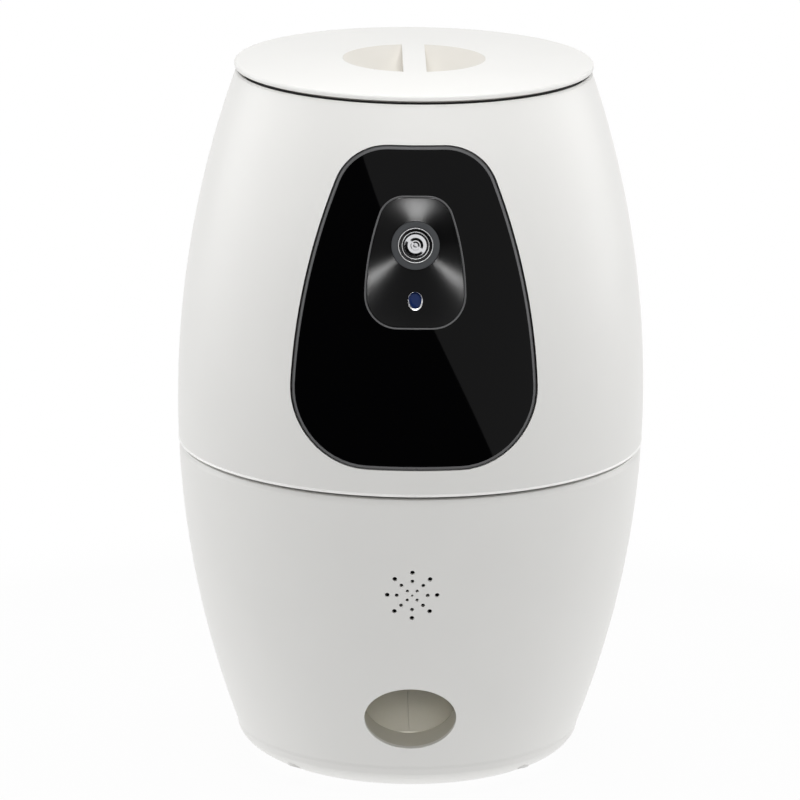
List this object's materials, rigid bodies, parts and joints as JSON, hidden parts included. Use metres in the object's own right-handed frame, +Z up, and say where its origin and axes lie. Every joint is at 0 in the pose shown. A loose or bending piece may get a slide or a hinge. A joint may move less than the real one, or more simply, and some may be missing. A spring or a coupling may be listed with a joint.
{
  "type": "smart pet feeder",
  "caption": "Free-standing barrel-shaped treat feeder with a twist-off lid, camera window, speaker, portion rotor and a motor-driven wheel that throws treats out of an oval outlet.",
  "frame": {"origin": "on the floor under the middle of the barrel", "axes": "+Z up; the front with the window and the outlet faces -Y; +X is to the right as seen from the front"},
  "size_m": [0.17, 0.1699, 0.2614],
  "materials": {
    "white_shell": "fine satin moulded plastic",
    "white_inner": "plain moulded plastic",
    "beige_duct": "plain moulded plastic",
    "black_window": "polished",
    "grey_trim": "satin bevel",
    "dark_pod": "satin",
    "grey_disc": "satin",
    "bright_metal": "polished",
    "lens_black": "black anodised",
    "lens_glass": "coated glass",
    "sensor_blue": "tinted lens",
    "steel": "zinc plated",
    "motor_steel": "nickel plated can",
    "brass": "sintered",
    "gear_plastic": "natural acetal",
    "rubber": "soft",
    "grey_rubber": "silicone",
    "pale_rubber": "silicone",
    "board_green": "solder mask",
    "black_plastic": "moulded",
    "cone_paper": "coated paper",
    "grey_button": "moulded",
    "light_pipe": "clear plastic"
  },
  "bodies": {
    "casing": {"upper_shell": "white_shell", "lower_shell": "white_shell", "base_cover": "white_inner", "rubber_feet": "rubber", "base_screws": "steel", "case_screws": "steel", "deck_plate": "white_inner", "deck_screws": "steel", "hopper": "white_inner", "hopper_screws": "steel", "drop_cover": "white_inner", "rotor_bushes": "brass", "rotor_motor": "motor_steel", "drop_chute": "white_inner", "launch_housing_left": "beige_duct", "launch_housing_right": "beige_duct", "housing_screws": "steel", "throw_bush": "brass", "throw_motor": "motor_steel", "motor_screws": "steel", "outlet_sleeve": "beige_duct", "front_window": "black_window", "window_trim": "grey_trim", "camera_bezel": "dark_pod", "lens_disc": "grey_disc", "lens_ring": "bright_metal", "lens_barrel": "lens_black", "lens_glass": "lens_glass", "sensor_ring": "bright_metal", "sensor_window": "sensor_blue", "camera_board": "board_green", "lens_holder": "black_plastic", "speaker_gasket": "grey_rubber", "speaker_frame": "black_plastic", "speaker_cone": "cone_paper", "speaker_magnet": "steel", "speaker_screws": "steel", "main_board": "board_green", "board_parts": "black_plastic", "board_screws": "steel", "port_plate": "white_inner", "power_jack": "black_plastic", "port_board": "board_green", "status_light": "light_pipe", "port_screws": "steel"},
    "lid_insert": {"lid_liner": "white_inner", "lid_seal": "pale_rubber"},
    "lid": {"lid_cap": "white_shell", "lid_pivot_screw": "steel"},
    "rotor": {"portion_rotor": "beige_duct", "rotor_shaft": "steel", "rotor_gear": "gear_plastic"},
    "pinion": {"drive_pinion": "gear_plastic", "motor_shaft": "steel"},
    "throw_wheel": {"throw_hub": "gear_plastic", "throw_vanes": "grey_rubber", "throw_shaft": "steel"},
    "button": {"reset_button": "grey_button"}
  },
  "joints": [
    {"name": "lid_lift", "type": "slide", "parent": "casing", "child": "lid_insert", "axis": [0, 0, 1], "range_m": [0, 0.06]},
    {"name": "lid_twist", "type": "hinge", "parent": "lid_insert", "child": "lid", "pos_m": [0, 0, 0.247], "axis": [0, 0, 1], "range_deg": [0, 55]},
    {"name": "rotor_spin", "type": "hinge", "parent": "casing", "child": "rotor", "pos_m": [0, 0, 0.13], "axis": [0, 0, 1], "continuous": true},
    {"name": "pinion_spin", "type": "hinge", "parent": "casing", "child": "pinion", "pos_m": [0, -0.021, 0.122], "axis": [0, 0, 1], "continuous": true},
    {"name": "throw_spin", "type": "hinge", "parent": "casing", "child": "throw_wheel", "pos_m": [0, 0.0163, 0.04945], "axis": [1, 0, 0], "continuous": true},
    {"name": "reset_press", "type": "slide", "parent": "casing", "child": "button", "axis": [0, -1, 0], "range_m": [0, 0.0008], "stiffness_N_per_m": 400}
  ],
  "couplings": [
    {"joint": "pinion_spin", "follows": "rotor_spin", "ratio": -2}
  ]
}
